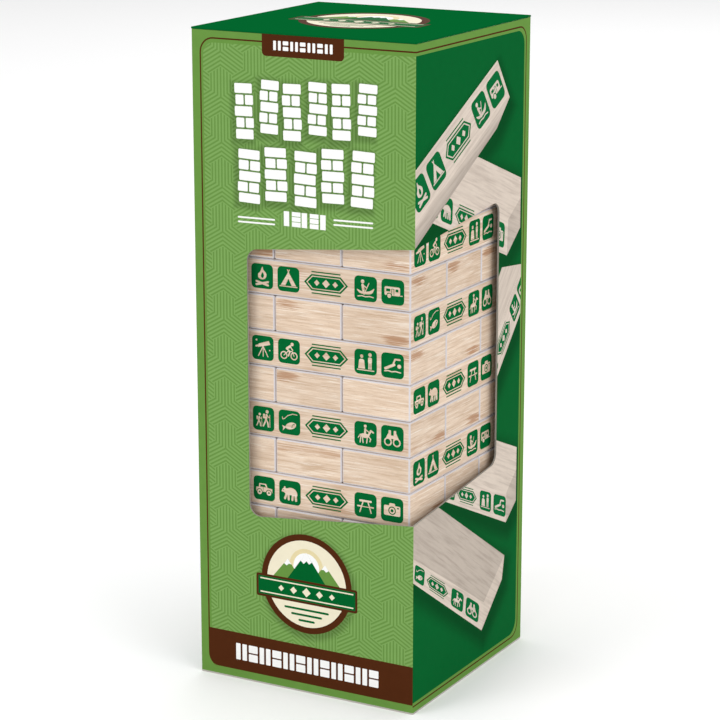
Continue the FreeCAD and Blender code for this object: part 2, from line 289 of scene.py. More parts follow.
def sleeve_outside(board):
    """1 on the outer faces, folds and top edge of the sleeve, and, as a second mask, 1 on its cut edges, where a darker
    grey is painted: partly the board's grey core and partly painted shade.
    """
    x, y, z = board.place()
    across_x, across_y, across_z = board.normal()
    line = HALF - BOARD / 2
    outer_x = (x * across_x.sign() > line) * (abs(across_x) > FACING)
    outer_y = (y * across_y.sign() > line) * (abs(across_y) > FACING)
    top_edge = z * across_z > LID_TOP - 2 * BOARD
    return outer_x.larger(outer_y).larger(top_edge), abs(x).larger(abs(y)) > HALF - 0.9 * BOARD


def upper_outside(board):
    """1 on the top of a piece, on the front of its tuck-in tongue and on the lid's edges."""
    _, across_y, across_z = board.normal()
    high = board.place()[2] > LID_TOP - 0.98 * BOARD
    return (across_z > FACING).larger(across_y < -FACING_FRONT).larger(high), None


def lower_outside(board):
    """1 on the underside of a piece."""
    return board.normal()[2] < -FACING, None


def press_ink(ink, colour, tint):
    """Finishes an ink: darker where the print is shaded, slightly mottled, with the board's faint tooth."""
    place = ink.place()
    mottle = ink.noise([way * 0.35 for way in place], 3.0, 0.6)
    tooth = ink.noise([way * 2.5 for way in place])
    tone = Term(ink, ink.node("Attribute", attribute_name="tone").outputs["Fac"])
    shaded = ink.bright(colour, 1.0 - tone)
    ink.set("Base Color", ink.bright(shaded, ink.step(mottle, 0.2, 0.8, 1.0 - tint, 1.0 + tint)))
    ink.bump(tooth, 0.02, 0.25)
    return ink.material


HEXAGON_WIDTH = 8.45  # across the flats
HEXAGON_LINES = 7  # lines side by side in a hexagon
HEXAGON_PLACE = (10.9, 202.5)  # of one hexagon's middle on the front panel


def make_front_green():
    """Light green with lighter lines: hexagons in three colours of a tiling, each lined in its own direction."""
    ink = Surface("ink_front_green", PRINT_ROUGHNESS, INK_GLOSS)
    x, _, z = ink.place()
    row = math.sqrt(3) * HEXAGON_WIDTH
    across, up = (x + (HALF - HEXAGON_PLACE[0])) / HEXAGON_WIDTH, (z - HEXAGON_PLACE[1]) / row

    def nearest(shift):
        """The hexagon column, and the place in the hexagon, for one of the tiling's two rectangular grids."""
        column = (across - shift).nearest()
        local_x = (across - shift - column) * HEXAGON_WIDTH
        local_z = (up - shift - (up - shift).nearest()) * row
        return column, local_x, local_z, local_x * local_x + local_z * local_z

    column_a, x_a, z_a, distance_a = nearest(0.0)
    column_b, x_b, z_b, distance_b = nearest(0.5)
    use_b = distance_b < distance_a

    def pick(a, b):
        return a * (1.0 - use_b) + b * use_b

    kind = pick(column_a, column_b - 1.0) % 3.0
    local_x, local_z = pick(x_a, x_b), pick(z_a, z_b)
    slanted = kind > 0.5
    lean = (kind > 1.5) * 2.0 - 1.0
    tilted = local_z * math.cos(math.radians(30)) + local_x * math.sin(math.radians(30)) * lean
    across_lines = tilted * slanted + local_x * (1.0 - slanted)
    from_line = abs((across_lines / (HEXAGON_WIDTH / HEXAGON_LINES)).fraction() - 0.5)
    return press_ink(ink, ink.blend(FRONT_GREEN, FRONT_LINE, from_line, 0.33, 0.19, 1.0), SMOOTH_TINT)


def make_printed_wood():
    """Wood as it is printed on the carton: greyer, with streaks along the film's own grain coordinates."""
    ink = Surface("ink_printed_wood", PRINT_ROUGHNESS, INK_GLOSS)
    along, across, _ = ink.parts(ink.node("UVMap", uv_map="grain").outputs[0])
    streaks = ink.noise((along * 6.0, across * 95.0, 0.0), 4.0, 0.6, 0.3)
    bands = ink.noise((along * 3.0, across * 24.0, 4.0))
    colour = ink.blend(PALE_WOOD, PRINTED_STREAK, streaks, 0.40, 0.72, 0.55)
    colour = ink.blend(colour, PRINTED_STREAK, bands, 0.50, 0.75, 0.30)
    return press_ink(ink, colour, SMOOTH_TINT)


INKS = {"front_green": make_front_green(), "printed_wood": make_printed_wood()}
for name, colour, tint in (
    ("border_green", BORDER_GREEN, PRINT_TINT),
    ("dark_green", DARK_GREEN, PRINT_TINT),
    ("brown", (0.071, 0.020, 0.0065), PRINT_TINT),
    ("white", (0.86, 0.86, 0.85), SMOOTH_TINT / 2),
    ("cream", (0.78, 0.72, 0.55), SMOOTH_TINT),
    ("sky", (0.72, 0.62, 0.36), PRINT_TINT),
    ("printed_green", (0.0015, 0.125, 0.032), PRINT_TINT),
    ("block_green", (0.0015, 0.118, 0.028), BLOCK_INK_TINT),
):
    surface = Surface("ink_" + name, BLOCK_INK_ROUGHNESS if name == "block_green" else PRINT_ROUGHNESS, INK_GLOSS)
    INKS[name] = press_ink(surface, colour, tint)


# ---------------------------------------------------------------- outlines, lists of (s, z)
def arc(s, z, radius, start, sweep, steps):
    """Points round a middle; start and sweep are in degrees, anticlockwise from the right."""
    turns = [math.radians(start + sweep * step / steps) for step in range(steps + 1)]
    return [(s + radius * math.cos(turn), z + radius * math.sin(turn)) for turn in turns]


def disc(s, z, radius, steps=16):
    return arc(s, z, radius, 0, 360, steps)[:-1]


def box(s0, z0, s1, z1):
    return [(s0, z0), (s1, z0), (s1, z1), (s0, z1)]


def round_off(points, radius, corners, steps):
    """An outline with the corners whose places in points are given turned into arcs."""
    outline = []
    for place, point in enumerate(points):
        if place not in corners:
            outline.append(point)
            continue
        corner = Vector(point)
        before, after = ((Vector(points[(place + way) % len(points)]) - corner).normalized() for way in (-1, 1))
        half_turn = math.acos(before.dot(after)) / 2
        middle = corner + (before + after).normalized() * (radius / math.sin(half_turn))
        reach = radius / math.tan(half_turn)
        start, end = (math.degrees(math.atan2(*(corner + way * reach - middle).yx)) for way in (before, after))
        outline += arc(*middle, radius, start, math.remainder(end - start, 360), steps)
    return outline


def rounded(s0, z0, s1, z1, radius, steps=4, corners=(0, 1, 2, 3)):
    """A box with rounded corners; 0 is the lower left one, then anticlockwise."""
    return round_off(box(s0, z0, s1, z1), radius, corners, steps)


def bar(s0, z0, s1, z1, width, steps=5):
    """A straight stroke with round ends."""
    way = math.degrees(math.atan2(z1 - z0, s1 - s0))
    return arc(s1, z1, width / 2, way - 90, 180, steps) + arc(s0, z0, width / 2, way + 90, 180, steps)


def bars(points, width):
    """A stroke along several points."""
    return [bar(*start, *end, width) for start, end in zip(points, points[1:])]


def smooth(points, steps=3):
    """A closed curve through the points."""
    outline = []
    for place in range(len(points)):
        before, start, end, after = (Vector(points[(place + shift) % len(points)]) for shift in (-1, 0, 1, 2))
        pull, bend = before * 2 - start * 5 + end * 4 - after, start * 3 - before - end * 3 + after
        for step in range(steps):
            t = step / steps
            outline.append(tuple(start + ((end - before) * t + pull * t ** 2 + bend * t ** 3) / 2))
    return outline


def moved(outline, s, z):
    return [(s + p, z + q) for p, q in outline]


def placed(outline, origin, right, up):
    """An outline in a slanting frame: origin, and the steps on the panel for a millimetre to the right and up."""
    return [(origin[0] + p * right[0] + q * up[0], origin[1] + p * right[1] + q * up[1]) for p, q in outline]


def scaled(outline, middle, size):
    return placed(outline, middle, (size, 0), (0, size))


def leaning(outline, foot, lean):
    """An outline turned lean degrees anticlockwise, with its origin moved to foot."""
    cosine, sine = math.cos(math.radians(lean)), math.sin(math.radians(lean))
    return placed(outline, foot, (cosine, sine), (-sine, cosine))


def oval(s, z, long_radius, short_radius, lean=0.0):
    """An ellipse whose long axis leans lean degrees up from the horizontal."""
    return leaning([(p * long_radius, q * short_radius) for p, q in disc(0, 0, 1)], (s, z), lean)


def both(*outlines):
    """The outlines and their mirror images."""
    return [[(side * s, z) for s, z in outline] for outline in outlines for side in (-1, 1)]


def diamond(s, z, size):
    return [(s - size, z), (s, z - size), (s + size, z), (s, z + size)]


# ---------------------------------------------------------------- pictograms, on a square 8.2 mm wide round (0, 0)
# Each is a list of (on, outline): on is True where the ink is, and False where it is cut out.
def cut(*outlines):
    return [(False, outline) for outline in outlines]


def ink(*outlines):
    return [(True, outline) for outline in outlines]


def campfire():
    flame = smooth([(0.1, 3.2), (0.5, 2.1), (1.6, 0.9), (1.3, -0.5), (0, -1.1), (-1.4, -0.6), (-1.5, 0.7), (-0.7, 1.5)])
    heart = smooth([(0.1, 1.3), (0.7, 0.3), (0.2, -0.6), (-0.5, 0)])
    return cut(flame) + ink(heart) + cut(*both(bar(-2.2, -2.9, 2.2, -1.8, 0.7)))


def tent():
    canvas = [(0, 2.5), (-2.9, -2.1), (-1.2, -2.1), (0, 0.2), (1.2, -2.1), (2.9, -2.1)]
    return cut(canvas, *both(bar(-0.1, 2.3, 0.35, 3.1, 0.35)), bar(-3.2, -2.4, 3.2, -2.4, 0.35))


def kayak():
    deck = [(-3.1, -0.3), (-1.4, -0.9), (1.4, -0.7), (3.1, 0.4)]
    hull = smooth(deck + [(2.5, -1.1), (1.2, -1.7), (-1.5, -1.7), (-2.7, -1.1)])
    person = [disc(-1.1, 2.3, 0.65, 12), bar(-1.1, 1.1, -0.8, -0.5, 0.95), bar(-0.9, 1, 0.5, 0.3, 0.4)]
    waves = bars([(-2.8, -2.6), (-1.4, -2.35), (0, -2.6), (1.4, -2.35), (2.8, -2.6)], 0.35)
    return cut(hull, *person, bar(-0.6, -1.9, 1.2, 1.9, 0.3), *waves)


def camper():
    body = rounded(-3, -1.2, 2.6, 1.7, 0.6)
    hitch = bar(2.6, -1, 3.4, -1, 0.3)
    windows = [rounded(-2.4, 0.1, -0.9, 1, 0.2), rounded(1, 0.1, 2, 1, 0.2), box(-0.5, -1, 0.5, 1.1)]
    door = box(-0.3, -1.2, 0.3, 0.9)
    return cut(body, hitch) + ink(*windows, disc(-1.3, -1.3, 1)) + cut(door, disc(-1.3, -1.3, 0.7))


def telescope():
    tube = [(-1.9, 0.1), (-1.6, 1.3), (2.3, 2.6), (2.8, 1.3)]
    legs = [bar(0.1, 0.6, end, -2.8, 0.35) for end in (-1.7, 0.1, 1.9)]
    return cut(tube, bar(-2.6, 0.4, -1.8, 0.65, 0.6), *legs, disc(-2.4, 2.5, 0.35, 8), disc(2.6, -0.6, 0.25, 8))


def cyclist():
    rims = cut(*both(disc(1.9, -1.4, 1.35))) + ink(*both(disc(1.9, -1.4, 0.95)))
    machine = bars([(-1.9, -1.4), (-0.4, 0), (1.2, 0.1), (1.9, -1.4)], 0.3)
    person = [disc(1.2, 2.5, 0.6, 12), bar(-0.8, 0.9, 0.5, 1.8, 0.8), bar(0.5, 1.7, 1.4, 0.5, 0.4)]
    leg = bars([(-0.8, 0.8), (0.4, 0), (-0.2, -1.5)], 0.5)
    return rims + cut(*machine, *person, *leg)


def booth():
    desk = [(-2.7, -2.3), (-0.2, -2.3), (-0.5, 0.5), (-1, 0.9), (-1.9, 0.9), (-2.4, 0.5)]
    visitor = [disc(1.6, 2.5, 0.65, 12), rounded(0.9, -0.3, 2.3, 1.7, 0.45)]
    legs = [box(1, -2.3, 1.5, 0), box(1.7, -2.3, 2.2, 0)]
    return cut(desk, disc(-1.45, 1.8, 0.6, 12), *visitor, *legs, bar(-3, -2.7, 3, -2.7, 0.35))


def swimmer():
    body = [bar(-2.6, -1.1, 0.6, 0.4, 0.9), disc(2.4, 0, 0.7, 12)]
    arm = bars([(0.2, 0.5), (0.9, 2.2), (2.6, 2.2)], 0.6)
    waves = bars([(-2.9, -2), (-1.6, -1.75), (-0.3, -2), (1, -1.75), (2.9, -2)], 0.4)
    return cut(*body, *arm, *waves)


def walker(s, size):
    """A hiker with a pack and a stick, size times the tall one's height, on the same ground."""
    ground = -2.75
    shapes = [
        disc(0.3, 2.5, 0.6, 12), bar(0.1, 1.3, -0.2, -0.1, 0.8), rounded(-1.3, 0.1, -0.5, 1.7, 0.3),
        *bars([(0.2, 1.3), (0.9, 0.6), (1.2, 0.9)], 0.35), *bars([(-0.2, -0.1), (0.5, -1.2), (0.7, -2.6)], 0.5),
        *bars([(-0.2, -0.1), (-0.6, -1.3), (-1.2, -2.5)], 0.5), bar(1.3, 1.5, 1.3, -2.7, 0.22),
    ]
    return [scaled(shape, (s, ground * (1 - size)), size) for shape in shapes]


def hikers():
    return cut(*walker(1.1, 1), *walker(-1.7, 0.78))


def fish():
    body = oval(0.5, -1.1, 2.1, 1.15, 18)
    tail = [(-1.2, -1.6), (-2.8, -1.2), (-2.4, -2), (-2.6, -3)]
    hook = bars([(2.9, 2.9), (1.2, 3), (-0.6, 2.3), (-1.9, 1.1), (-2.6, 0.9), (-2.7, 1.6)], 0.28)
    return cut(body, tail) + ink(disc(1.7, -0.5, 0.28, 8), bar(0.9, -1.7, 1.1, -0.6, 0.22)) + cut(*hook)


def rider():
    horse = [oval(-0.3, -0.5, 1.7, 0.75), bar(1, -0.3, 1.9, 1.2, 0.7), bar(1.9, 1.4, 2.8, 0.9, 0.6)]
    legs = [bar(-1.7, -0.6, -2, -2.9, 0.4), bar(-1.2, -0.8, -0.9, -2.9, 0.4), bar(0.7, -0.8, 0.4, -2.9, 0.4)]
    legs += bars([(1, -0.6), (1.9, -1.4), (1.6, -2.3)], 0.4)
    person = [disc(-0.1, 2.7, 0.55, 12), bar(-0.1, 1.7, -0.2, 0.3, 0.75), bar(0.1, 1.5, 1.1, 0.9, 0.35)]
    return cut(*horse, *legs, *person, bar(-1.9, -0.2, -2.7, -1.4, 0.35))


def binoculars():
    barrel = [(0.5, 1.6), (1.5, 1.6), (2.9, -1.2), (0.3, -1.2)]
    eyes = both(rounded(0.5, 1.4, 1.4, 2.6, 0.25))
    lenses = cut(*both(disc(1.6, -1.3, 1.45))) + ink(*both(disc(1.6, -1.3, 0.95)))
    return cut(*both(barrel), *eyes, box(-0.6, -0.2, 0.6, 0.9)) + lenses


def car():
    body = [(-3.1, -1.2), (3.1, -1.2), (3.1, 0.1), (1.3, 0.3), (0.7, 1.6), (-1.9, 1.6), (-2.1, 0.3), (-3.1, 0.2)]
    window = [(-1.5, 0.4), (0.7, 0.4), (0.3, 1.2), (-1.5, 1.2)]
    arches = both(disc(1.8, -1.4, 1.15))
    tyres = cut(*both(disc(1.8, -1.4, 0.9))) + ink(*both(disc(1.8, -1.4, 0.35, 8)))
    return cut(body) + ink(window, bar(-0.4, 0.4, -0.4, -0.9, 0.15), *arches) + tyres


def bear():
    back = [(-3.2, 0.1), (-2.8, 1), (-2.1, 1.5), (-1.2, 1.3), (0, 1.7), (1.5, 1.5), (2.6, 0.5)]
    body = smooth(back + [(2.7, -0.9), (1.3, -0.9), (-0.5, -0.8), (-1.5, -0.7), (-2.2, -0.2)])
    legs = [bar(2.1, -0.6, 2.3, -2.4, 0.9), bar(1.1, -0.8, 0.9, -2.4, 0.8)]
    legs += [bar(-0.6, -0.6, -0.5, -2.4, 0.8), bar(-1.3, -0.6, -1.9, -2.2, 0.8)]
    return cut(body, *legs, disc(-2, 1.6, 0.35, 8)) + ink(disc(-2.5, 0.7, 0.16, 6))


def picnic_table():
    top = rounded(-2.3, 1.1, 2.3, 1.8, 0.2)
    bench, leg = rounded(1.3, -0.7, 3.1, -0.2, 0.2), bar(0.9, 1.2, 2.1, -2.4, 0.42)
    return cut(top, *both(bench, leg), bar(-2.2, -0.5, 2.2, -0.5, 0.3))


def camera():
    body = rounded(-3, -2, 3, 1.4, 0.5)
    hump = rounded(-1.1, 1, 1.1, 2.2, 0.4)
    lens = ink(disc(0, -0.3, 1.4)) + cut(disc(0, -0.3, 1.05)) + ink(disc(0, -0.3, 0.55))
    return cut(body, hump) + lens + ink(rounded(1.8, 0.5, 2.5, 0.95, 0.1))


def pine():
    tiers = [[(-reach, low), (reach, low), (0, low + 2.4)] for reach, low in ((2.6, -1.9), (2.1, -0.4), (1.5, 1))]
    return cut(*tiers, box(-0.4, -3, 0.4, -1.8), bar(-2.6, -3, 2.6, -3, 0.3))


def plaque():
    """A plain plate with pointed ends and three diamonds, between two rules."""

    def plate(reach, rise):
        flat = reach - rise
        return [(-reach, 0), (-flat, -rise), (flat, -rise), (reach, 0), (flat, rise), (-flat, rise)]

    rules = [bar(-5.2, level, 5.2, level, 0.4) for level in (-3.5, 3.5)]
    inner = cut(plate(7.3, 2.2)) + ink(plate(6.8, 1.9))
    return ink(*rules, plate(8.1, 2.7)) + inner + cut(*both(diamond(3.4, 0, 1)), diamond(0, 0, 1.4))


ICON = 8.2
ICON_ROUNDING = 1.5
# Middles along a block, from the end that is nearest the window's corner, and what each design has there.
ICON_PLACES = (6.4, 16.2, 30.7, 44.65, 54.55)
HIDDEN_PLACE = 68.6  # of the pine on the end that the carton hides
DESIGNS = [
    (campfire, tent, plaque, kayak, camper),
    (telescope, cyclist, plaque, booth, swimmer),
    (hikers, fish, plaque, rider, binoculars),
    (car, bear, plaque, picnic_table, camera),
]


def icon_shapes(pictogram):
    """A pictogram with the rounded square that it is cut out of."""
    if pictogram is plaque:
        return plaque()
    reach = ICON / 2
    return ink(rounded(-reach, -reach, reach, reach, ICON_ROUNDING)) + pictogram()


# ---------------------------------------------------------------- film
# grain and tone are functions of s and z: the grain coordinates there, and how dark the print is.
Patch = namedtuple("Patch", "ink outline grain tone", defaults=(lambda s, z: (0.0, 0.0), lambda s, z: 0.0))


def patches_of(ink_name, *outlines):
    """A plain patch for each outline."""
    return [Patch(ink_name, outline) for outline in outlines]


def edges(outline):
    """Each point of an outline with the next one, round to the first."""
    return list(zip(outline, outline[1:] + outline[:1]))


def anticlockwise(outline):
    area = sum(a[0] * b[1] - b[0] * a[1] for a, b in edges(outline))
    return outline if area > 0 else outline[::-1]


def flatten(patches):
    """Cuts overlapping patches into triangles that don't overlap; each has the patch on top of it."""
    points, faces = [], []
    for patch in patches:
        outline = anticlockwise(patch.outline)
        faces.append(list(range(len(points), len(points) + len(outline))))
        points.extend(Vector(point) for point in outline)
    corners, _, triangles, _, _, sources = delaunay_2d_cdt(points, [], faces, 1, 1e-4, True)
    tops = [(triangle, patches[max(source)]) for triangle, source in zip(triangles, sources) if source]
    return [tuple(corner) for corner in corners], [(triangle, top) for triangle, top in tops if top.ink]


def film_mesh(name, sheets):
    """One mesh from several (corners, pieces, place): place takes s and z to a point in millimetres."""
    vertices, faces, inks, grain, tone = [], [], [], [], []
    for corners, pieces, place in sheets:
        used = sorted({corner for triangle, _ in pieces for corner in triangle})
        number = {corner: len(vertices) + count for count, corner in enumerate(used)}
        vertices += [place(*corners[corner]) * MM for corner in used]
        for triangle, patch in pieces:
            faces.append([number[corner] for corner in triangle])
            inks.append(patch.ink)
            for corner in triangle:
                grain += patch.grain(*corners[corner])
                tone.append(patch.tone(*corners[corner]))
    mesh = bpy.data.meshes.new(name)
    mesh.from_pydata(vertices, [], faces)
    slots = sorted(set(inks))
    for ink_name in slots:
        mesh.materials.append(INKS[ink_name])
    mesh.polygons.foreach_set("material_index", [slots.index(ink_name) for ink_name in inks])
    mesh.uv_layers.new(name="grain").data.foreach_set("uv", grain)
    mesh.attributes.new("tone", "FLOAT", "CORNER").data.foreach_set("value", tone)
    mesh.validate()
    piece = bpy.data.objects.new(name, mesh)
    bpy.context.scene.collection.objects.link(piece)
    return piece


X_WAY, Y_WAY = Vector((1, 0, 0)), Vector((0, 1, 0))
SIDES = {  # the way to the right along each side of the object, and outward
    "front": (X_WAY, -Y_WAY),
    "right": (Y_WAY, X_WAY),
    "back": (-X_WAY, Y_WAY),
    "left": (-Y_WAY, -X_WAY),
}


# ---------------------------------------------------------------- ink on the blocks
def design_patches(design, from_left):
    """A design's patches round the middle of a block's long side; the corner end is on the left or on the right."""
    way = 1 if from_left else -1
    patches = []
    for pictogram, distance in zip((*DESIGNS[design][::way], pine), (*ICON_PLACES, HIDDEN_PLACE)):
        s = way * (distance - BLOCK_LENGTH / 2)
        for on, outline in icon_shapes(pictogram):
            patches += patches_of("block_green" if on else None, moved(outline, s, 0))
    return patches


DESIGN_FILMS = {
    (design, from_left): flatten(design_patches(design, from_left))
    for design in range(len(DESIGNS))
    for from_left in (False, True)
}


def design_of_layer(layer):
    """Which design a layer's blocks carry: they take turns down the front, and in the same order down the right."""
    return (12 - layer + 3 * (layer % 2)) // 2 % 4


def block_side_sheet(node, side):
    """The film of one of a block's long sides."""
    low, high = box_mm(node)
    right, outward = SIDES[side]
    middle = (low + high) / 2 + outward * (abs(outward.dot(high - low)) / 2 + PROUD)
    corners, pieces = DESIGN_FILMS[design_of_layer(int(node.split("_")[1])), side in ("left", "right")]
    return corners, pieces, lambda s, z: middle + right * s + UP * z


def add_block_ink():
    """Ink on the long sides that face outward, and on both sides of each block that can slide out."""
    for body, members in frame["record"]["behaviour"]["bodies"].items():
        loose = body.startswith("loose_")
        sheets = []
        for node in members:
            if not node.startswith("block_"):
                continue
            _, layer, column = node.split("_")
            for side in ("front", "back") if int(layer) % 2 == 0 else ("left", "right"):
                if loose or side == column:
                    sheets.append(block_side_sheet(node, side))
        if sheets:
            piece = film_mesh(body.replace("loose_", "ink_") if loose else "ink_stack", sheets)
            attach(piece, body)


# ---------------------------------------------------------------- the carton's print
FILM_RADIUS = FOLD_RADIUS + PROUD
FLAT_REACH = HALF - FOLD_RADIUS  # from a panel's middle to where its folds begin
FOLD_SWEEP = FILM_RADIUS * math.sin(math.radians(45))  # how far a panel's half of a fold reaches past that
FOLD_STEPS = 3
SHEET_LOW, SHEET_HIGH = box_mm("carton_sleeve")[0].z, box_mm("carton_sleeve")[1].z
PAST = 10.0  # how far a border reaches above and below the sheet, where trim_patches cuts it off

# Places on the panels, s from the left edge and z up
PIN_INSET, PIN_TOP, PIN_LOW, PIN_WIDTH = 3.1, 216.2, 2.5, 0.5
PIN_ROUNDING = 5
BAND_LOW, BAND_HIGH = 3.2, 16.5
TAB_LEFT, TAB_RIGHT, TAB_LOW, TAB_ROUNDING = 26.4, 56.2, 212, 1.4
PANEL_TOP, DARK_TOP, DARK_LOW, DARK_RIGHT = 215, 215.3, 4, 76.8
# left, right, low, height, width and gap of a row of marks
BAND_MARKS = (14, 69, 6.9, 5.8, 1.75, 0.75)
TAB_MARKS = (30.6, 52.6, 214, 3, 1, 0.75)
MARK_ROUNDING = 0.2
# middle and radius of each badge
FRONT_BADGE = (41.6, 38.2), 17.2
LEFT_BADGE = (HALF, 103), 24
BACK_BADGE = (HALF, 178), 22
TOP_BADGE = (HALF, HALF), 21.5
FRONT_BADGE_SHADOW_SHIFT = (0.5, -0.9)


def panel_place(panel):
    """Takes s, from the panel's left edge, and z to a point on the panel or on its half of a fold."""
    right, outward = SIDES[panel]

    def place(s, z):
        across = s - HALF
        beyond = max(0.0, abs(across) - FLAT_REACH)
        sunk = FILM_RADIUS - math.sqrt(max(0.0, FILM_RADIUS ** 2 - beyond ** 2))
        return right * across + outward * (HALF + PROUD - sunk) + UP * z

    return place


def ground_patches(ink_name):
    """The panel's ground, in strips where it goes round the folds."""
    turns = [math.radians(45 * step / FOLD_STEPS) for step in range(FOLD_STEPS + 1)]
    bends = [FLAT_REACH + FILM_RADIUS * math.sin(turn) for turn in turns]
    lines = [HALF - bend for bend in reversed(bends)] + [HALF + bend for bend in bends]
    return patches_of(ink_name, *[box(left, SHEET_LOW, right, SHEET_HIGH) for left, right in zip(lines, lines[1:])])


def trim_patches():
    """Holes all round a panel's sheet, so that nothing on it reaches past its edges."""
    left, right = HALF - FLAT_REACH - FOLD_SWEEP, HALF + FLAT_REACH + FOLD_SWEEP
    far = 3 * WIDTH
    beside = box(-far, -far, left, far), box(right, -far, far, far)
    return patches_of(None, *beside, box(-far, -far, far, SHEET_LOW), box(-far, SHEET_HIGH, far, far))


def window_patch(far, near):
    """The window's share of a panel: far is its side on the panel, near is where it leaves the panel at the corner.

    far and near are places to the right of the corner fold, below 0 on the front panel.
    """
    fold = WIDTH if far < 0 else 0.0
    sides = ((near, WINDOW_BOTTOM), (far, WINDOW_BOTTOM), (far, WINDOW_TOP), (near, WINDOW_TOP))
    outline = [(fold + s, level + WINDOW_RISE * s) for s, level in sides]
    return Patch(None, round_off(outline, WINDOW_ROUNDING, (1, 2), CORNER_STEPS))


def segment_distance(point, start, end):
    """From a point to a line between two points."""
    _, share = intersect_point_line(point, start, end)
    return (Vector(point) - Vector(start).lerp(Vector(end), min(1.0, max(0.0, share)))).length


def outline_distance(point, outline):
    """From a point to a convex outline, 0 inside it."""
    turning = edges(anticlockwise(outline))
    inside = all((b[0] - a[0]) * (point[1] - a[1]) - (b[1] - a[1]) * (point[0] - a[0]) >= 0 for a, b in turning)
    return 0.0 if inside else min(segment_distance(point, a, b) for a, b in turning)


BLUNTEST = 0.4  # keeps a sharp corner of a grown outline from running far out


def grown(outline, by):
    """A convex outline moved outward by a distance, with plain corners."""
    turning = anticlockwise(outline)
    moved_out = []
    for before, here, after in zip(turning[-1:] + turning[:-1], turning, turning[1:] + turning[:1]):
        first, second = (Vector((b[1] - a[1], a[0] - b[0])).normalized() for a, b in ((before, here), (here, after)))
        away = (first + second).normalized()
        moved_out.append(tuple(Vector(here) + away * (by / max(BLUNTEST, away.dot(first)))))
    return moved_out


SHADOW_RINGS = (1.0, 0.65, 0.35, 0.05)  # shares of the blur


def shadow_patches(ink_name, cores, blur, depth):
    """Soft shadows on a ground: rings round each core, whose tone falls from depth to 0 over blur."""

    def tone(s, z):
        share = max(0.0, 1 - min(outline_distance((s, z), core) for core in cores) / blur)
        return depth * share * share * (3 - 2 * share)

    return [Patch(ink_name, grown(core, blur * ring), tone=tone) for ring in SHADOW_RINGS for core in cores]


# --- the title, as two rows of little block towers
TOWER_LAYERS = 5
TOWER_GAP = 0.55
TOWER_ROUNDING = 0.35


def tower(middle, base, width, height, lean, shifts):
    """A little tower seen from the side: long blocks, and block ends between them, each layer shifted a little."""
    shapes = []
    layer = height / TOWER_LAYERS
    end = (width - TOWER_GAP) / 2
    for level, shift in enumerate(shifts):
        low, high = level * layer + TOWER_GAP / 2, (level + 1) * layer - TOWER_GAP / 2
        left, right = shift - width / 2, shift + width / 2
        for start, stop in ((left, right),) if level % 2 == 0 else ((left, left + end), (right - end, right)):
            shapes.append(rounded(start, low, stop, high, TOWER_ROUNDING, 2))
    return [leaning(shape, (middle, base), lean) for shape in shapes]


# middle, base, width, height, lean in degrees, and each layer's shift
TITLE_ROWS = [
    (19.8, 184.6, 6.5, 18.4, 1.5, (0, 0.25, -0.2, 0.2, -0.1)),
    (28.6, 187, 6.5, 17.6, -1.5, (0.2, -0.2, 0.15, -0.2, 0.25)),
    (37.5, 185.4, 6.5, 18.6, 1.5, (-0.2, 0.25, 0, -0.25, 0.2)),
    (46.4, 187.9, 6.5, 17.2, -1.5, (0.2, -0.2, 0.25, 0, -0.2)),
    (55.3, 187, 6.5, 18.2, 1.5, (0, 0.25, -0.2, 0.2, 0.1)),
    (64.2, 189, 6.5, 16.8, -1.5, (0.2, -0.1, 0.2, -0.2, 0.15)),
    (21, 164, 7.9, 17.8, -1.5, (0.2, -0.25, 0.2, 0, -0.2)),
    (31.4, 165.4, 7.9, 17.8, 1.5, (-0.2, 0.2, -0.15, 0.25, 0)),
    (41.8, 164.6, 7.9, 18.2, -1.5, (0.25, 0, -0.2, 0.15, -0.15)),
    (52.2, 166.6, 7.9, 17.8, 1.5, (0, -0.25, 0.2, -0.1, 0.2)),
    (62.6, 166.2, 7.9, 18.4, -1.5, (-0.15, 0.2, 0, -0.25, 0.15)),
]
TITLE_SHADOW_BLUR, TITLE_SHADOW_DEPTH = 2.6, 0.34
TITLE_SHADOW_SHIFT = (-0.7, -0.8)
TITLE_RULES = ((17.0, 30.5, 159.3), (52.5, 66.3, 161.6))  # left, right and level of each pair
RULE_PITCH, RULE_SLOPE, RULE_WIDTH = 1.5, 0.02, 0.55
STANDING_BLOCK = [box(-1.0, -2.4, 1.0, 2.4)]
LYING_BLOCKS = [box(-1.6, low, 1.6, high) for low, high in ((-2.4, -0.9), (-0.7, 0.8), (1.0, 2.4))]
SMALL_BLOCKS_LEVEL = 160.4
STANDING_PLACES, LYING_PLACES = (35.0, 41.6, 48.4), (38.6, 45.2)


def title_patches():
    """White towers with a soft shadow, and a pair of rules on each side of a row of small blocks."""
    cores = [
        moved(leaning(box(-width / 2, 0, width / 2, height), (middle, base), lean), *TITLE_SHADOW_SHIFT)
        for middle, base, width, height, lean, _ in TITLE_ROWS
    ]
    shapes = [shape for row in TITLE_ROWS for shape in tower(*row)]
    for left, right, level in TITLE_RULES:
        rise = RULE_SLOPE * (right - left)
        shapes += [bar(left, z, right, z + rise, RULE_WIDTH, 3) for z in (level, level - RULE_PITCH)]
    for places, blocks in ((STANDING_PLACES, STANDING_BLOCK), (LYING_PLACES, LYING_BLOCKS)):
        shapes += [moved(block, s, SMALL_BLOCKS_LEVEL) for s in places for block in blocks]
    shadows = shadow_patches("front_green", cores, TITLE_SHADOW_BLUR, TITLE_SHADOW_DEPTH)
    return shadows + patches_of("white", *shapes)


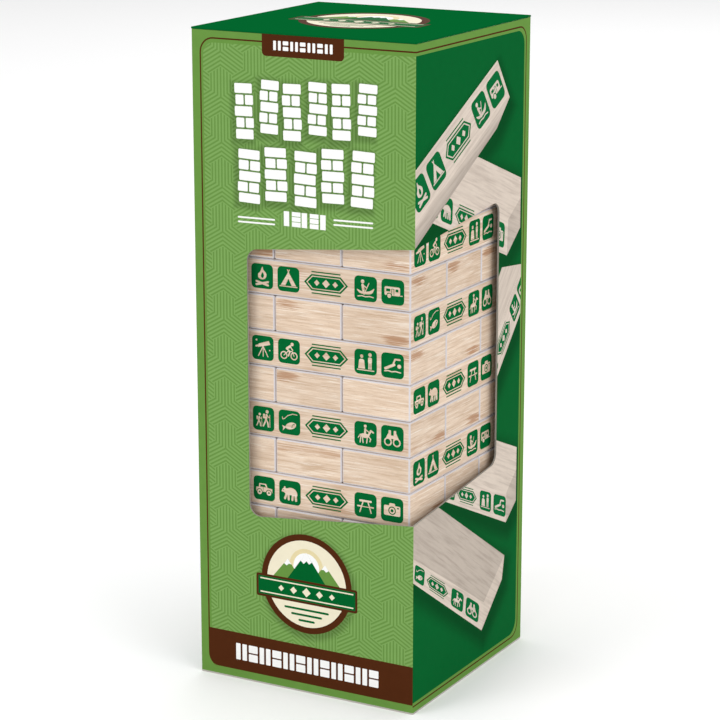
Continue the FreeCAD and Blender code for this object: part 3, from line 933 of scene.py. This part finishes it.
def badge_patches(middle, radius):
    """A round badge: a brown rim, a cream field with a sun behind three peaks, and a plain band over water lines."""
    rim = 16.0
    middle_snow = [(-2, 7.4), (-0.9, 6.5), (0.1, 7.5), (1, 6.6), (2, 7.4), (0, 10.2)]
    side_snow = [(7.9, 5.6), (7, 5), (6.2, 5.7), (5.3, 5.6), (6.6, 7.2)]
    water = ((-8.4, 7.6), (-10.2, 5.2), (-12, 2.6))
    shapes = [
        ("brown", [disc(0, 0, rim, 48)]),
        ("cream", [disc(0, 0, 14, 48)]),
        ("sky", [disc(0, 5.4, 6, 28)]),
        ("white", [disc(0, 5.4, 4.6, 24)]),
        ("border_green", both([(12.6, 0), (6.6, 7.2), (0.6, 0)])),
        ("dark_green", [[(-7.4, 0), (0, 10.2), (7.4, 0)]]),
        ("white", [middle_snow, *both(side_snow)]),
        ("brown", [rounded(-17.9, -6.4, 17.9, 1, 0.5, 2)]),
        ("dark_green", [box(-17.2, -5.7, 17.2, 0.3)]),
        ("cream", [box(-16.5, level, 16.5, level + 0.4) for level in (-5.1, -0.7)]),
        ("cream", both(diamond(9, -2.7, 1), diamond(4.6, -2.7, 1.2)) + [diamond(0, -2.7, 1.5)]),
        ("dark_green", [bar(-reach, level, reach, level, 0.7, 3) for level, reach in water]),
    ]
    return [Patch(name, scaled(outline, middle, radius / rim)) for name, outlines in shapes for outline in outlines]


def block_marks(left, right, low, height, width, gap):
    """A row of marks that stand for blocks: upright ones, and pairs that lie on each other."""
    marks = []
    lying = (height - gap * 2 / 3) / 2
    number = 0
    while left + width <= right:
        if number % 3 < 2:
            marks.append(rounded(left, low, left + width, low + height, MARK_ROUNDING, 2))
            left += width + gap
        else:
            for level in (low, low + height - lying):
                marks.append(rounded(left, level, left + 2 * width, level + lying, MARK_ROUNDING, 2))
            left += 2 * width + gap
        number += 1
    return marks


def front_patches():
    """Border, pinstripe, lined ground, title, band, tab, badge and window of the front panel."""
    inner = PIN_INSET + PIN_WIDTH
    past = WIDTH + 1
    middle, radius = FRONT_BADGE
    shadow = moved(disc(*middle, radius, 24), *FRONT_BADGE_SHADOW_SHIFT)
    return [
        *ground_patches("border_green"),
        Patch("brown", rounded(PIN_INSET, PIN_LOW, past, PIN_TOP + PIN_WIDTH, PIN_ROUNDING, 8, (0, 3))),
        Patch("border_green", rounded(inner, PIN_LOW, past, PIN_TOP, PIN_ROUNDING - PIN_WIDTH, 8, (0, 3))),
        Patch("front_green", rounded(inner + 0.8, BAND_LOW, past, PANEL_TOP, PIN_ROUNDING - 1, 8, (0, 3))),
        *title_patches(),
        Patch("brown", rounded(inner - 0.3, BAND_LOW, past, BAND_HIGH, PIN_ROUNDING - 1.5, 8, (0,))),
        *patches_of("white", *block_marks(*BAND_MARKS)),
        Patch("brown", rounded(TAB_LEFT, TAB_LOW, TAB_RIGHT, SHEET_HIGH + 1, TAB_ROUNDING, 4, (0, 1))),
        *patches_of("white", *block_marks(*TAB_MARKS)),
        *shadow_patches("front_green", [shadow], TITLE_SHADOW_BLUR, TITLE_SHADOW_DEPTH),
        *badge_patches(*FRONT_BADGE),
        window_patch(-WINDOW_FRONT_WIDTH, 1.0),
    ]


# --- the blocks printed on the side panels
# foot is the lower right corner of the face with the icons. right and up are the steps on the panel for a millimetre
# along and up the block, and shrink is the share of them that is lost over a millimetre to the left. The icons begin
# at start. hull is the outline that the shadow has. faces are the other faces, and each Face has its outline, how dark
# it is at the edge from its last point to its first, and how dark it is at the point furthest from there.
Flying = namedtuple("Flying", "foot right up design start faces hull shrink", defaults=(0.0,))
Face = namedtuple("Face", "outline near far")
FLYING_BLOCKS = {
    "behind": Flying(
        (65.6, 141), (1, -0.378), (0.06, 1.01), 3, 0,
        [
            Face([(13.1, 173), (43, 177.8), (75.6, 165.8), (75.6, 159), (66.3, 153.1)], 0.02, 0.02),
            Face([(66.3, 153.1), (75.6, 159), (75.6, 148.8), (65.6, 141)], 0.24, 0.18),
        ],
        [(13.1, 161.4), (65.6, 141), (75.6, 148.8), (75.6, 165.8), (43, 177.8)],
    ),
    "steep": Flying(
        (66, 194.2), (1.087, 0.53), (-0.79, 1.11), 0, -1,
        [Face([(66, 194.2), (56.7, 185.1), (-12, 148.9), (-12, 156.2)], 0.10, 0.46)],
        [(66, 194.2), (56.5, 207.5), (-12, 174), (-12, 148.9), (56.7, 185.1)],
    ),
    "standing": Flying(
        (84.7, 127.3), (0.57, 0.606), (-0.53, 0.70), 0, 0,
        [Face([(45, 100.3), (59.8, 135), (62, 137.6), (80, 135.6), (78.3, 135.7)], 0.08, 0.08)],
        [(42, 81.9), (84.7, 127.3), (80, 136), (62, 137.6), (41.6, 90.3)],
    ),
    "level": Flying(
        (67.8, 46.7), (1.25, -0.55), (0.025, 0.90), 1, -2.1,
        [
            Face([(-6, 84), (30, 90), (60.3, 77.9), (75.6, 71.7), (75.6, 63.8), (68, 57.4)], 0.02, 0.02),
            Face([(68, 57.4), (75.6, 63.8), (75.6, 52.5), (67.8, 46.7)], 0.20, 0.26),
        ],
        [(-6, 79.9), (67.8, 46.7), (75.6, 52.5), (75.6, 71.7), (30, 90)],
        0.006,
    ),
    "lowest": Flying(
        (50, 13), (1.30, -0.84), (0.12, 0.81), 2, 0,
        [
            Face([(-20, 65), (-20, 83), (17.5, 66), (67.1, 35), (51.4, 22.7)], 0.25, 0.25),
            Face([(51.4, 22.7), (67.1, 35), (65.4, 26.8), (50, 13)], 0.03, 0.08),
        ],
        [(-20, 58.5), (50, 13), (65.4, 26.8), (67.1, 35), (-10, 81)],
        0.0056,
    ),
}
FLYING_SHADOW_BLUR, FLYING_SHADOW_DEPTH = 7.0, 0.42
FLYING_SHADOW_SHIFT = (1.2, -3.2)
PRINT_GRAIN = 0.01  # grain coordinates for a millimetre


def across_tone(face):
    """Darkness that goes from near, at the edge from the outline's last point to its first, to far."""
    start, end = Vector(face.outline[0]), Vector(face.outline[-1])
    edge = (end - start).normalized()

    def distance(s, z):
        return abs(edge.x * (z - start.y) - edge.y * (s - start.x))

    reach = max(distance(*point) for point in face.outline)
    return lambda s, z: face.near + (face.far - face.near) * min(1.0, distance(s, z) / reach)


def flying_patches(block):
    """A block drawn in perspective: its other faces, the face with the icons, and the icons."""
    right, up = Vector(block.right), Vector(block.up)
    streak = right.normalized()

    def grain(s, z):
        return (s * streak.x + z * streak.y) * PRINT_GRAIN, (z * streak.x - s * streak.y) * PRINT_GRAIN

    def on_block(outline):
        """From millimetres left of, and above, the foot; the far end is drawn smaller."""
        return [tuple(Vector(block.foot) + (up * b - right * a) / (1 + block.shrink * a)) for a, b in outline]

    patches = [Patch("printed_wood", face.outline, grain, across_tone(face)) for face in block.faces]
    patches.append(Patch("printed_wood", on_block(box(0, 0, BLOCK_LENGTH, BLOCK_HEIGHT)), grain))
    for pictogram, distance in zip(DESIGNS[block.design][::-1], ICON_PLACES):
        for on, outline in icon_shapes(pictogram):
            turned = on_block([(distance + block.start - s, BLOCK_HEIGHT / 2 + z) for s, z in outline])
            patches.append(Patch("printed_green", turned) if on else Patch("printed_wood", turned, grain))
    return patches


def dark_field_patches(*names):
    """The dark field with its flying blocks and their shadows."""
    blocks = [FLYING_BLOCKS[name] for name in names]
    cores = [moved(block.hull, *FLYING_SHADOW_SHIFT) for block in blocks]
    patches = ground_patches("dark_green")
    patches += shadow_patches("dark_green", cores, FLYING_SHADOW_BLUR, FLYING_SHADOW_DEPTH)
    return patches + [patch for block in blocks for patch in flying_patches(block)]


def side_border_patches(mirrored=False):
    """The light border and the pinstripe round a side panel's field; they are open at the front fold."""
    far = 2 * WIDTH

    def round_side(low, right, high, radius):
        """An outline's lower edge, its rounded right side and its top, open to the left."""
        return round_off([(-far, low), (right, low), (right, high), (-far, high)], radius, (1, 2), 8)

    right = WIDTH - PIN_INSET - PIN_WIDTH
    border = box(-far, -PAST, far, SHEET_HIGH + PAST)[::-1]
    border += round_side(DARK_LOW, DARK_RIGHT, DARK_TOP, PIN_ROUNDING)
    outer = round_side(PIN_LOW, right + PIN_WIDTH, PIN_TOP + PIN_WIDTH, PIN_ROUNDING)
    inner = round_side(PIN_LOW + PIN_WIDTH, right, PIN_TOP, PIN_ROUNDING - PIN_WIDTH)
    patches = [Patch("border_green", border), Patch("brown", outer + inner[::-1])]
    if mirrored:
        return [Patch(patch.ink, [(WIDTH - s, z) for s, z in patch.outline]) for patch in patches]
    return patches


def right_patches():
    patches = dark_field_patches("behind", "steep", "standing", "level", "lowest")
    return patches + side_border_patches() + [window_patch(WINDOW_RIGHT_WIDTH, -1.0)]


def left_patches():
    """The left panel has no window; three flying blocks leave room for a large badge."""
    patches = dark_field_patches("behind", "steep", "lowest")
    return patches + badge_patches(*LEFT_BADGE) + side_border_patches(True)


BACK_FIELD_LOW, BACK_FIELD_HIGH, BACK_FIELD_INSET = 8, 210, 7
CARD_BASES = (110, 64, 18)  # where the towers on the three cards stand
CARD_INSET, CARD_LOW, CARD_HIGH = 13, -4, 36  # the last two from the tower's base
CARD_TOWER = (30, 17, 32)  # middle, width and height
# lean and shifts of the tower on each card: built, with a block drawn out, and leaning
CARD_SCENES = ((0, (0, 0, 0, 0, 0)), (0, (0, 0, 3.2, 0, 0)), (-4, (0, 0.9, -0.8, 1.4, 2.6)))
CARD_LINE_ENDS = (62, 62, 62, 62, 57)
CARD_LINE_START, CARD_LINE_TOP, CARD_LINE_PITCH, CARD_LINE_WIDTH = 45, 28, 6, 1.3


def back_patches():
    """A field with the badge, and three cards that show how the tower is built and played."""
    inset, side = PIN_INSET + PIN_WIDTH, BACK_FIELD_INSET
    middle, width, height = CARD_TOWER
    patches = ground_patches("border_green") + [
        Patch("brown", rounded(PIN_INSET, PIN_LOW, WIDTH - PIN_INSET, PIN_TOP + PIN_WIDTH, PIN_ROUNDING, 8)),
        Patch("border_green", rounded(inset, PIN_LOW + PIN_WIDTH, WIDTH - inset, PIN_TOP, PIN_ROUNDING, 8)),
        Patch("dark_green", rounded(side, BACK_FIELD_LOW, WIDTH - side, BACK_FIELD_HIGH, PIN_ROUNDING, 8)),
        *badge_patches(*BACK_BADGE),
    ]
    for base, (lean, shifts) in zip(CARD_BASES, CARD_SCENES):
        card = rounded(CARD_INSET, base + CARD_LOW, WIDTH - CARD_INSET, base + CARD_HIGH, 3, 6)
        patches.append(Patch("cream", card))
        for shape in tower(middle, base, width, height, lean, shifts):
            patches.append(Patch("printed_wood", shape, lambda s, z: (s * PRINT_GRAIN, z * PRINT_GRAIN)))
        for line, end in enumerate(CARD_LINE_ENDS):
            level = base + CARD_LINE_TOP - CARD_LINE_PITCH * line
            patches.append(Patch("dark_green", bar(CARD_LINE_START, level, end, level, CARD_LINE_WIDTH, 3)))
    return patches


def top_place(s, t):
    """On the lid: s to the right and t away from the front, as the top is looked at from the front."""
    return Vector((s - HALF, t - HALF, LID_TOP + PROUD))


def add_film(name, patches, place, body):
    piece = film_mesh(name, [(*flatten(patches), place)])
    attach(piece, body)


def add_carton_print():
    panels = {"front": front_patches, "right": right_patches, "back": back_patches, "left": left_patches}
    for panel, patches in panels.items():
        add_film("print_" + panel, patches() + trim_patches(), panel_place(panel), "carton_and_stack")
    add_film("print_top", badge_patches(*TOP_BADGE), top_place, "lid")


add_block_ink()
add_carton_print()


# ---------------------------------------------------------------- CAD pieces
WOOD_X = make_wood("wood_along_x", True)
WOOD_Y = make_wood("wood_along_y", False)
SLEEVE_BOARD = make_board("board_sleeve", BORDER_GREEN, sleeve_outside)
LID_BOARD = make_board("board_lid", DARK_GREEN, upper_outside)
BOTTOM_BOARD = make_board("board_bottom", BORDER_GREEN, lower_outside)


def material_for(node):
    if node.startswith("block_"):
        return WOOD_X if int(node.split("_")[1]) % 2 == 0 else WOOD_Y
    if node == "carton_sleeve":
        return SLEEVE_BOARD
    return BOTTOM_BOARD if node.startswith("bottom_") else LID_BOARD


for node, piece in frame["nodes"].items():
    for slot in piece.material_slots:
        slot.link = "OBJECT"
        slot.material = material_for(node)


# ---------------------------------------------------------------- stage, lights and camera, in metres and watts
FLOOR_SIZE = 12
LIT_POINT = Vector((0, 0, 0.11))
# name, place, size and power
LIGHTS = (
    ("key", (-0.9, -1.6, 1.5), 0.9, 11),
    ("fill", (1.7, -0.6, 0.9), 1.2, 9),
    ("back", (-0.4, 1.6, 1.2), 1.2, 5),
    ("top", (0.1, -0.1, 2.0), 1.2, 8),
)
WORLD_STRENGTH = 0.78
CAMERA_AZIMUTH, CAMERA_ELEVATION = math.radians(29.07), math.radians(14.4)
CAMERA_DISTANCE = 0.857
CAMERA_TARGET = Vector((-0.00157, 0.0, 0.1052))
CAMERA_LENS = 127.0


def add_floor():
    bpy.ops.mesh.primitive_plane_add(size=FLOOR_SIZE)
    floor = bpy.context.object
    floor.name = "floor"
    surface = Surface("floor", 0.9)
    surface.set("Base Color", FLOOR_COLOUR)
    floor.data.materials.append(surface.material)


def add_light(name, place, size, power):
    toward = (LIT_POINT - Vector(place)).to_track_quat("-Z", "Y").to_euler()
    bpy.ops.object.light_add(type="AREA", location=place, rotation=toward)
    light = bpy.context.object
    light.name = name
    light.data.size, light.data.energy = size, power


def add_camera():
    level = math.cos(CAMERA_ELEVATION)
    back = Vector((math.sin(CAMERA_AZIMUTH) * level, -math.cos(CAMERA_AZIMUTH) * level, math.sin(CAMERA_ELEVATION)))
    turn = back.to_track_quat("Z", "Y").to_euler()
    bpy.ops.object.camera_add(location=CAMERA_TARGET + back * CAMERA_DISTANCE, rotation=turn)
    bpy.context.scene.camera = bpy.context.object
    bpy.context.object.data.lens = CAMERA_LENS


def set_world():
    world = bpy.data.worlds.new("studio")
    bpy.context.scene.world = world
    world.use_nodes = True
    background = world.node_tree.nodes["Background"]
    background.inputs["Color"].default_value = (1, 1, 1, 1)
    background.inputs["Strength"].default_value = WORLD_STRENGTH
    bpy.context.scene.view_settings.view_transform = "Standard"


add_floor()
for light in LIGHTS:
    add_light(*light)
add_camera()
set_world()
